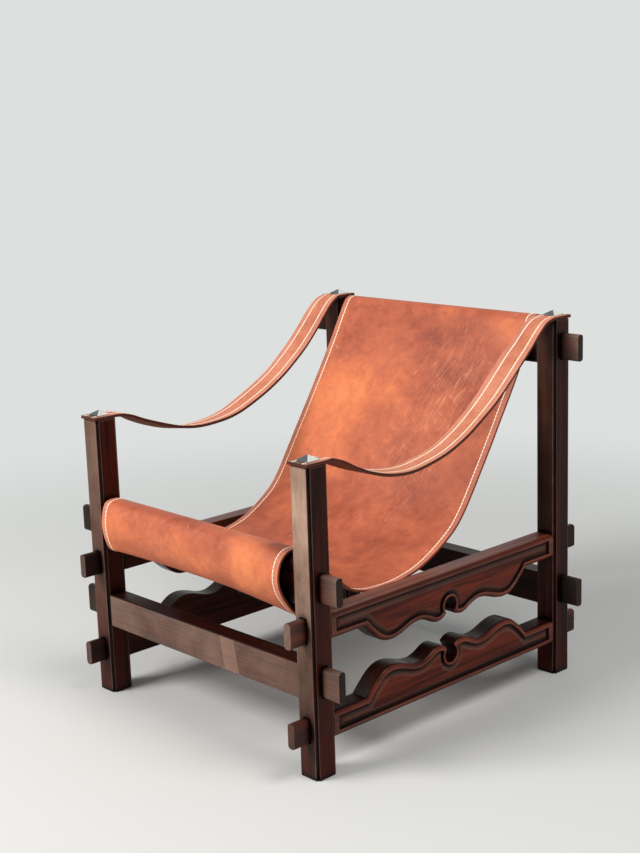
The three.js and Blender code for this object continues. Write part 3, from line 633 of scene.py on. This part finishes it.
def waxed_saddle_leather(name, tones, scuffs, width, rim):
    """Vegetable tanned cowhide, oiled and waxed: fine pebbled grain, cloudy reddish patina,
    hair fine scratches and pale nicks that cut through the finish, a soft sheen."""
    material, tree = new_material(name)
    cut = add_node(tree, "ShaderNodeUVMap", uv_map="cut")
    # The tone set in the mesh holds patina and painted light and shade
    wear_and_light = add_node(tree, "ShaderNodeAttribute", attribute_name="tone")
    clouds = add_node(tree, "ShaderNodeTexNoise", {
        "Scale": 8.0, "Detail": 5.0, "Roughness": 0.55, "Distortion": 0.8}, {0: cut.outputs[0]})
    mottle = add_node(tree, "ShaderNodeTexNoise", {
        "Scale": 38.0, "Detail": 8.0, "Roughness": 0.68, "Distortion": 0.4}, {0: cut.outputs[0]})
    cloud_part = add_node(tree, "ShaderNodeMath", operation="MULTIPLY", links={
        0: clouds.outputs[0]}, values={1: 0.65})
    uneven = add_node(tree, "ShaderNodeMath", operation="MULTIPLY_ADD", links={
        0: mottle.outputs[0], 2: cloud_part.outputs[0]}, values={1: 0.55})
    centred = add_node(tree, "ShaderNodeMath", {1: 0.6}, {0: uneven.outputs[0]}, operation="SUBTRACT")
    tone = add_node(tree, "ShaderNodeMath", operation="ADD", links={
        0: wear_and_light.outputs["Fac"], 1: centred.outputs[0]})
    dyed = add_node(tree, "ShaderNodeValToRGB", links={0: tone.outputs[0]}, stops=tuple(
        zip((0.1, 0.36, 0.54, 0.74, 0.96), map(paint, tones))))
    colour = dyed.outputs[0]
    # Scratches are hair fine, and drawn about 1 mm wide so that they show
    scratch_length = 0.13
    scratch_spacing = 0.009
    scuffed = add_node(tree, "ShaderNodeAttribute", attribute_name="scuffed")
    for angle, amount in ((1.38, scuffs), (1.12, 0.8 * scuffs), (-0.6, 0.3 * scuffs)):
        turned = add_node(tree, "ShaderNodeMapping", {
            "Location": (angle, 0, 0), "Rotation": (0, 0, angle),
            "Scale": (scratch_length, scratch_spacing, 1)}, {
            0: cut.outputs[0]}, vector_type="TEXTURE")
        threads = add_node(tree, "ShaderNodeTexNoise", {
            "Scale": 1.0, "Detail": 1.0, "Roughness": 0.4, "Distortion": 0.15}, {0: turned.outputs[0]})
        from_middle = add_node(tree, "ShaderNodeMath", operation="SUBTRACT", links={
            0: threads.outputs[0]}, values={1: 0.5})
        off_line = add_node(tree, "ShaderNodeMath", operation="ABSOLUTE", links={
            0: from_middle.outputs[0]})
        line = add_node(tree, "ShaderNodeMapRange", {
            "From Min": 0.0, "From Max": 0.02, "To Min": amount, "To Max": 0.0}, {
            "Value": off_line.outputs[0]})
        here = add_node(tree, "ShaderNodeMath", operation="MULTIPLY", links={
            0: scuffed.outputs["Fac"], 1: mottle.outputs[0]})
        share = add_node(tree, "ShaderNodeMath", operation="MULTIPLY", links={
            0: line.outputs[0], 1: here.outputs[0]})
        scratched = add_node(tree, "ShaderNodeMix", data_type="RGBA", links={
            "Factor": share.outputs[0], under: colour}, values={over: paint("#F2B08A")})
        colour = scratched.outputs[mixed]
    # Nicks are short, and drawn about 2 mm wide so that they show
    nick_length = 0.022
    nick_width = 0.0032
    chips = add_node(tree, "ShaderNodeTexNoise", {
        "Scale": 70.0, "Detail": 2.0, "Roughness": 0.4, "Distortion": 1.5}, {0: cut.outputs[0]})
    chip = add_node(tree, "ShaderNodeMapRange", {
        "From Min": 0.77, "From Max": 0.79, "To Min": 0.0, "To Max": 0.75}, {
        "Value": chips.outputs[0]})
    slanting = add_node(tree, "ShaderNodeMapping", {
        "Rotation": (0, 0, 0.85), "Scale": (nick_length, nick_width, 1)}, {
        0: cut.outputs[0]}, vector_type="TEXTURE")
    strokes = add_node(tree, "ShaderNodeTexNoise", {
        "Scale": 1.0, "Detail": 1.0, "Roughness": 0.4, "Distortion": 0.4}, {0: slanting.outputs[0]})
    stroke = add_node(tree, "ShaderNodeMapRange", {
        "From Min": 0.79, "From Max": 0.82, "To Min": 0.0, "To Max": 0.8}, {
        "Value": strokes.outputs[0]})
    nick = add_node(tree, "ShaderNodeMath", operation="MAXIMUM", links={
        0: chip.outputs[0], 1: stroke.outputs[0]})
    nicked = add_node(tree, "ShaderNodeMix", data_type="RGBA", links={
        "Factor": nick.outputs[0], under: colour}, values={over: paint("#F6C3A0")})
    # The rims outside the stitching are paler, where hands rub them
    across = add_node(tree, "ShaderNodeSeparateXYZ", links={0: cut.outputs[0]})
    one_rim = add_node(tree, "ShaderNodeMath", operation="LESS_THAN", links={
        0: across.outputs[0]}, values={1: rim})
    other_rim = add_node(tree, "ShaderNodeMath", operation="GREATER_THAN", links={
        0: across.outputs[0]}, values={1: width - rim})
    both_rims = add_node(tree, "ShaderNodeMath", operation="ADD", links={
        0: one_rim.outputs[0], 1: other_rim.outputs[0]})
    rim_share = add_node(tree, "ShaderNodeMath", operation="MULTIPLY", links={
        0: both_rims.outputs[0]}, values={1: 0.28})
    rimmed = add_node(tree, "ShaderNodeMix", data_type="RGBA", links={
        "Factor": rim_share.outputs[0], under: nicked.outputs[mixed]}, values={over: paint("#C98A78")})
    # The pebbles of the grain are about 2 mm across
    pebbles_in_a_metre = 520
    pebble = add_node(tree, "ShaderNodeTexVoronoi", {"Scale": pebbles_in_a_metre}, {0: cut.outputs[0]})
    grain_relief = add_node(tree, "ShaderNodeBump", {"Strength": 0.25, "Distance": 0.0004}, {
        "Height": pebble.outputs[0]})
    cloud_relief = add_node(tree, "ShaderNodeBump", {"Strength": 0.3, "Distance": 0.003}, {
        "Height": mottle.outputs[0], "Normal": grain_relief.outputs[0]})
    gloss = add_node(tree, "ShaderNodeMapRange", {
        "From Min": 0.35, "From Max": 0.7, "To Min": 0.42, "To Max": 0.6}, {
        "Value": mottle.outputs[0]})
    surface = add_node(tree, "ShaderNodeBsdfPrincipled", {
        "IOR": 1.45, "Specular IOR Level": 0.22}, {
        "Base Color": rimmed.outputs[mixed], "Roughness": gloss.outputs[0],
        "Normal": cloud_relief.outputs[0]})
    add_node(tree, "ShaderNodeOutputMaterial", links={0: surface.outputs[0]})
    return material


def raw_hide(name, colour, deep):
    """The rough flesh side and cut edges of the hide: matt, fibrous and darker."""
    material, tree = new_material(name)
    place = add_node(tree, "ShaderNodeTexCoord")
    fibres = add_node(tree, "ShaderNodeTexNoise", {
        "Scale": 160.0, "Detail": 6.0, "Roughness": 0.7}, {0: place.outputs["Object"]})
    tone = add_node(tree, "ShaderNodeMix", data_type="RGBA", links={
        "Factor": fibres.outputs[0]}, values={under: paint(deep), over: paint(colour)})
    relief = add_node(tree, "ShaderNodeBump", {"Strength": 0.5, "Distance": 0.0006}, {
        "Height": fibres.outputs[0]})
    surface = add_node(tree, "ShaderNodeBsdfPrincipled", {
        "Roughness": 0.8, "Specular IOR Level": 0.2}, {
        "Base Color": tone.outputs[mixed], "Normal": relief.outputs[0]})
    add_node(tree, "ShaderNodeOutputMaterial", links={0: surface.outputs[0]})
    return material


def give_thickness(piece, back_material, rim_material, thickness):
    """Thickness of a sheet below its outer face, with a rough back, a cut rim and slightly
    rounded edges."""
    piece.data.materials.append(back_material)
    piece.data.materials.append(rim_material)
    wall = piece.modifiers.new("thickness", "SOLIDIFY")
    wall.thickness = thickness
    wall.offset = -1
    wall.material_offset = 1
    wall.material_offset_rim = 2
    rounding = piece.modifiers.new("rounded_rim", "BEVEL")
    rounding.width = 0.0007
    rounding.segments = 2
    rounding.limit_method = "ANGLE"
    rounding.angle_limit = math.radians(55)
    piece.modifiers.new("rim_stays_even", "WEIGHTED_NORMAL")


# Tones of the hide by place, from patina and from painted light and shade, and its
# scratches: across, key along the route, reach across and along, and how much is added there
hide_patina_and_light = (
    (-0.55, 25.6, 0.45, 1.3, 0.26), (-0.1, 26.0, 0.5, 0.5, 0.06), (0.45, 26.8, 0.45, 0.9, -0.16),
    (0.85, 27.8, 0.2, 0.5, 0.16), (0.5, 24.8, 0.5, 1.1, -0.08), (0.1, 21.5, 0.7, 2.8, -0.12),
    (0.8, 7.5, 0.4, 3.0, 0.22), (-0.9, 7.5, 0.4, 3.0, 0.22), (0.0, 7.5, 0.6, 3.0, 0.08),
    (-0.2, 11.2, 0.55, 1.3, -0.2), (0.9, 11.3, 0.15, 1.3, -0.2), (0.57, 8.8, 0.12, 2.6, 0.16),
    (0.38, 9.6, 0.1, 1.6, -0.14), (-0.75, 6.2, 0.25, 1.0, -0.12),
    (0.2, 16.5, 1.0, 2.0, -0.12), (-0.1, 27.4, 0.3, 0.5, -0.12), (-0.7, 27.6, 0.3, 0.6, -0.1),
)
hide_scuffs = (
    (0.45, 26.6, 0.35, 1.0, 0.75), (0.35, 25.0, 0.35, 0.8, 0.6), (0.3, 23.3, 0.3, 0.5, 0.4),
    (0.5, 18.5, 0.3, 1.0, 0.4), (-0.2, 8.0, 0.8, 3.0, 0.2),
)


def by_place(spots, across, row):
    """What the soft round spots add up to at a place on the hide."""
    key = row / hide_steps
    return sum(
        change * math.exp(-((across - spot_across) / reach) ** 2 - ((key - spot_key) / span) ** 2)
        for spot_across, spot_key, reach, span, change in spots)


sling_leather = waxed_saddle_leather(
    "waxed_saddle_leather_sling", ("#743323", "#A05038", "#B96243", "#D5764B", "#E68A58"),
    scuffs=0.8, width=2 * hide_half_width, rim=0.012)
flesh_side = raw_hide("flesh_side_of_hide", "#8A5236", "#6A3A26")
cut_edge = raw_hide("cut_edge_of_hide", "#9A5238", "#6A3020")

hide_columns = 44
middle_tone = 0.5
least_scuffs = 0.04

form = cut_sheet(
    hide_rows, hide_columns, hide_point, 2 * hide_half_width, hide_run_at,
    lambda across, row: middle_tone + by_place(hide_patina_and_light, across, row),
    lambda across, row: least_scuffs + by_place(hide_scuffs, across, row))
sling = finish_piece("sling_hide", form, sling_leather, "cognac_leather", "sling", smooth=0)
give_thickness(sling, flesh_side, cut_edge, hide_thickness)


# Sling stitching. Thick waxed cream thread along both long sides, about 13 mm in, sewn
# through the hide by hand. Each stitch stands a little proud of it.
def waxed_thread(name, colour, deep):
    """Thick waxed polyester thread: pale, slightly grubby, with a soft gloss."""
    material, tree = new_material(name)
    place = add_node(tree, "ShaderNodeTexCoord")
    twist = add_node(tree, "ShaderNodeTexNoise", {
        "Scale": 90.0, "Detail": 4.0, "Roughness": 0.6}, {0: place.outputs["Object"]})
    tone = add_node(tree, "ShaderNodeMix", data_type="RGBA", links={
        "Factor": twist.outputs[0]}, values={under: paint(deep), over: paint(colour)})
    relief = add_node(tree, "ShaderNodeBump", {"Strength": 0.3, "Distance": 0.0003}, {
        "Height": twist.outputs[0]})
    surface = add_node(tree, "ShaderNodeBsdfPrincipled", {"Roughness": 0.55}, {
        "Base Color": tone.outputs[mixed], "Normal": relief.outputs[0]})
    add_node(tree, "ShaderNodeOutputMaterial", links={0: surface.outputs[0]})
    return material


def sew(form, path, stitch_length, gap, width):
    """Stitches along a path of (place, outward direction) pairs. Their ends are pointed, so
    with a gap below nothing they overlap, and show as one nearly unbroken line."""
    ahead = stitch_length / 2
    travelled = 0.0
    for (start, start_out), (end, end_out) in zip(path, path[1:]):
        span = (end - start).length
        while ahead <= travelled + span:
            share = (ahead - travelled) / span
            along = (end - start).normalized()
            out = start_out.lerp(end_out, share).normalized()
            side = along.cross(out).normalized()
            turn = Matrix((along, side, side.cross(along))).transposed().to_4x4()
            shape = Matrix.Diagonal((stitch_length / 2, width / 2, width / 4, 1))
            bmesh.ops.create_uvsphere(
                form, u_segments=6, v_segments=4, radius=1,
                matrix=Matrix.Translation(start.lerp(end, share)) @ turn @ shape)
            ahead += stitch_length + gap
        travelled += span


cream_thread = waxed_thread("waxed_thread_cream", "#FFF1DA", "#F3D6B2")
stitch_inset = 0.013


def hide_seam(across):
    """The path of a seam along the whole hide."""
    path = []
    for row in range(hide_rows + 1):
        place = hide_point(across, row)
        ahead = hide_point(across, min(row + 0.5, hide_rows)) - hide_point(across, max(row - 0.5, 0))
        out = ahead.cross(Vector((1, 0, 0))).normalized()
        path.append((place, -out))
    return path


form = bmesh.new()
for side in (-1, 1):
    seam = hide_seam(side - side * stitch_inset / hide_half_width)
    sew(form, seam, stitch_length=0.0098, gap=-0.002, width=0.0036)
finish_piece("sling_stitching", form, cream_thread, "cognac_leather", smooth=0)


# Arm straps. Two plies of belt leather sewn together, worn to a salmon orange on top and
# brown below, laid over the posts' tops and hanging in a slack curve between them.
strap_half_width = 0.025
ply = 0.003
# Along each strap: its share of the way back, of the way up, and the sine of its lean
strap_keys = {
    "left": (
        (0, 0, 0), (0.027, -0.026, -0.13), (0.058, -0.07, -0.13), (0.105, -0.155, -0.07),
        (0.167, -0.249, -0.02), (0.244, -0.325, 0.03), (0.329, -0.359, 0.02), (0.415, -0.325, 0),
        (0.5, -0.252, -0.01), (0.585, -0.113, 0.03), (0.655, 0.047, 0.09), (0.717, 0.213, 0.185),
        (0.779, 0.412, 0.27), (0.833, 0.592, 0.29), (0.88, 0.73, 0.21), (0.926, 0.877, 0.12),
        (0.965, 0.973, 0.04), (1, 1, 0),
    ),
    "right": (
        (0, 0, 0), (0.027, -0.014, 0.03), (0.058, -0.048, 0.05), (0.105, -0.132, 0.11),
        (0.167, -0.223, 0.15), (0.244, -0.314, 0.14), (0.329, -0.362, 0.1), (0.415, -0.35, 0.05),
        (0.5, -0.289, -0.04), (0.585, -0.161, -0.13), (0.655, -0.035, -0.16), (0.717, 0.1, -0.17),
        (0.779, 0.276, -0.23), (0.833, 0.448, -0.28), (0.88, 0.626, -0.29), (0.926, 0.812, -0.25),
        (0.965, 0.941, -0.13), (1, 1, 0),
    ),
}


# In millimetres: the clear span between the posts, their tops, the gap under the strap,
# and points along its flat ends, measured from the middle of the chair
strap_span = round(2000 * post_inner.y)
front_top = round(1000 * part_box("post_front_left")[1].z)
back_top = round(1000 * post_outer.z)
seat_gap = 0.3
strap_end_keys = (375.5, 366, 356, 346, 335)


def strap_route(side_name):
    """Places of the strap's underside from front to back, with the lean at each."""
    keys = [
        ((aft - 0.5) * strap_span, front_top + seat_gap + up * (back_top - front_top), lean * 1000)
        for aft, up, lean in strap_keys[side_name]]
    front = [Vector((-y / 1000, (front_top + seat_gap) / 1000, 0)) for y in strap_end_keys]
    back = [Vector((y / 1000, (back_top + seat_gap) / 1000, 0)) for y in reversed(strap_end_keys)]
    return [*front, *smooth_route(keys, 4), *back]


def strap_place(route, sign, across, up, row):
    """A point on a strap: across from -1 to 1, up from its underside, row along it."""
    low = min(int(row), len(route) - 2)
    here = route[low].lerp(route[low + 1], row - low)
    along = route[min(low + 1, len(route) - 1)] - route[max(low - 1, 0)]
    along = Vector((along.x, along.y)).normalized()
    lean = math.asin(max(-0.9, min(0.9, here.z)))
    offset = across * strap_half_width
    lift = up * math.cos(lean) - offset * math.sin(lean)
    outward = offset * math.cos(lean) + up * math.sin(lean)
    return Vector((sign * (post_centre.x + outward), here.x - along.y * lift, here.y + along.x * lift))


strap_leather = waxed_saddle_leather(
    "waxed_saddle_leather_straps", ("#5A4238", "#A86049", "#BE7054", "#CE8568", "#DE987D"),
    scuffs=0.4, width=2 * strap_half_width, rim=0.0115)
lining_leather = raw_hide("brown_belt_lining", "#84482B", "#5E2E1B")
ply_edge = raw_hide("burnished_ply_edge", "#5E3428", "#3E1E17")
strap_columns = 8
strap_tone = 0.6
strap_scuffs = 0.4
dark_end = 0.07
ply_gap = 0.0003
seams_across = (-0.51, 0.53)
thread_rise = 0.0004

for side_name, sign in (("left", 1), ("right", -1)):
    route = strap_route(side_name)
    rows = len(route) - 1
    runs = [0.0]
    for before, after in zip(route, route[1:]):
        runs.append(runs[-1] + (after - before).xy.length)

    def strap_run_at(row):
        return runs[min(round(row), rows)]

    def tone_at(across, row):
        into_end = max(0, abs(row / rows - 0.5) - 0.5 + dark_end) / dark_end
        return strap_tone - strap_tone * into_end

    # The top ply is cut a little narrower than the lining under it
    for layer, height, share_of_width, front_leather, node_name in (
        ("lining", 0.0, 1.0, lining_leather, f"arm_strap_lining_{side_name}"),
        ("top", ply + ply_gap, 0.985, strap_leather, f"arm_strap_{side_name}"),
    ):
        form = cut_sheet(
            rows, strap_columns,
            lambda across, row: strap_place(route, sign, across * share_of_width, height + ply, row),
            2 * strap_half_width, strap_run_at, tone_at, lambda across, row: strap_scuffs)
        if sign < 0:
            bmesh.ops.reverse_faces(form, faces=form.faces)
        strap = finish_piece(
            f"arm_strap_{layer}_{side_name}_leather", form, front_leather, "cognac_leather", node_name,
            smooth=0)
        give_thickness(strap, lining_leather, ply_edge, ply)
    form = bmesh.new()
    for across in seams_across:
        path = []
        for row in range(rows + 1):
            low = strap_place(route, sign, across, 2 * ply, row)
            high = strap_place(route, sign, across, 2 * ply + thread_rise, row)
            path.append((high, (high - low).normalized()))
        sew(form, path, stitch_length=0.0092, gap=-0.003, width=0.0033)
    finish_piece(f"arm_strap_stitching_{side_name}", form, cream_thread, "cognac_leather", smooth=0)


# Studs. A cast pyramid of pale nickel silver on every post's top, its shank driven
# through the strap's end, with file marks and softened edges.
def handled_metal(name, colour, dull, roughness, painted_shade_colour):
    """Cast metal, filed and handled: pale, brushed in fine lines, tarnished in patches, and dark on the
    slopes marked in the mesh as painted shade.
    """
    material, tree = new_material(name)
    place = add_node(tree, "ShaderNodeTexCoord")
    # File marks are about a millimetre apart and ten long
    file_marks_in_a_metre = (900, 900, 90)
    brushed = add_node(tree, "ShaderNodeMapping", {"Scale": file_marks_in_a_metre}, {
        0: place.outputs["Object"]})
    lines = add_node(tree, "ShaderNodeTexNoise", {"Scale": 1.0, "Detail": 4.0}, {0: brushed.outputs[0]})
    tarnish = add_node(tree, "ShaderNodeTexNoise", {"Scale": 130.0, "Detail": 5.0, "Roughness": 0.65}, {
        0: place.outputs["Object"]})
    tone = add_node(tree, "ShaderNodeMix", data_type="RGBA", links={
        "Factor": tarnish.outputs[0]}, values={under: paint(dull), over: paint(colour)})
    # The slopes marked in the mesh are painted dark as shade
    marked = add_node(tree, "ShaderNodeAttribute", attribute_name="wear_and_painted_light")
    facets_shaded = add_node(tree, "ShaderNodeMix", data_type="RGBA", links={
        "Factor": marked.outputs["Fac"], under: tone.outputs[mixed]}, values={over: paint(painted_shade_colour)})
    gloss = add_node(tree, "ShaderNodeMapRange", {
        "To Min": roughness, "To Max": roughness + 0.2}, {
        "Value": tarnish.outputs[0]})
    relief = add_node(tree, "ShaderNodeBump", {"Strength": 0.25, "Distance": 0.0002}, {
        "Height": lines.outputs[0]})
    surface = add_node(tree, "ShaderNodeBsdfPrincipled", {"Metallic": 1.0}, {
        "Base Color": facets_shaded.outputs[mixed], "Roughness": gloss.outputs[0], "Normal": relief.outputs[0]})
    add_node(tree, "ShaderNodeOutputMaterial", links={0: surface.outputs[0]})
    return material


stud_metal = handled_metal(
    "filed_nickel_silver", "#FFFEFA", "#E4E1DA", roughness=0.2, painted_shade_colour="#46515C")
filed_rounding = 0.0005

for stud_name in (
    "post_stud_front_left", "post_stud_front_right", "post_stud_back_left", "post_stud_back_right",
):
    form = merged_copy(stud_name)
    round_edges(form, sharp_edges(form, 20), filed_rounding)
    # The slopes facing the front are marked, to be painted dark as shade
    mark(form, "wear_and_painted_light", lambda face, place: 0.9 * (face.normal.y < -0.25))
    finish_piece(f"{stud_name}_metal", form, stud_metal, "stud_metal", stud_name, smooth=30)


# Sling tacks. Nine domed brass upholstery tacks hold each flap of the hide to the rear
# face of its bar. They are hammered home, and darkened with age.
tack_brass = handled_metal(
    "aged_brass_tacks", "#B08D4E", "#5E4524", roughness=0.34, painted_shade_colour="#5E4524")
# From the middle of the dome to its rim, and down the shank: radius, and depth below the crown
tack_outline = (
    (0.0, 0.0), (0.0016, 0.0002), (0.0032, 0.0008), (0.0045, 0.0018), (0.005, 0.0025),
    (0.0012, 0.0025), (0.0012, 0.0173), (0.0, 0.0185),
)

for row_name in ("front_sling_tack", "back_sling_tack"):
    form = bmesh.new()
    nodes = [f"{row_name}_{i}" for i in range(1, 10)]
    for node_name in nodes:
        lowest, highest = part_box(node_name)
        middle = (lowest + highest) / 2
        crown = highest.y
        points = [
            form.verts.new((middle.x + radius, crown - depth, middle.z))
            for radius, depth in tack_outline]
        edges = [form.edges.new(pair) for pair in zip(points, points[1:])]
        bmesh.ops.spin(
            form, geom=[*points, *edges], cent=(middle.x, crown, middle.z), axis=(0, 1, 0),
            angle=math.tau, steps=16, use_merge=True)
    bmesh.ops.remove_doubles(form, verts=form.verts, dist=tolerance)
    bmesh.ops.recalc_face_normals(form, faces=form.faces)
    finish_piece(f"{row_name}s", form, tack_brass, "tack_metal", *nodes, smooth=40)
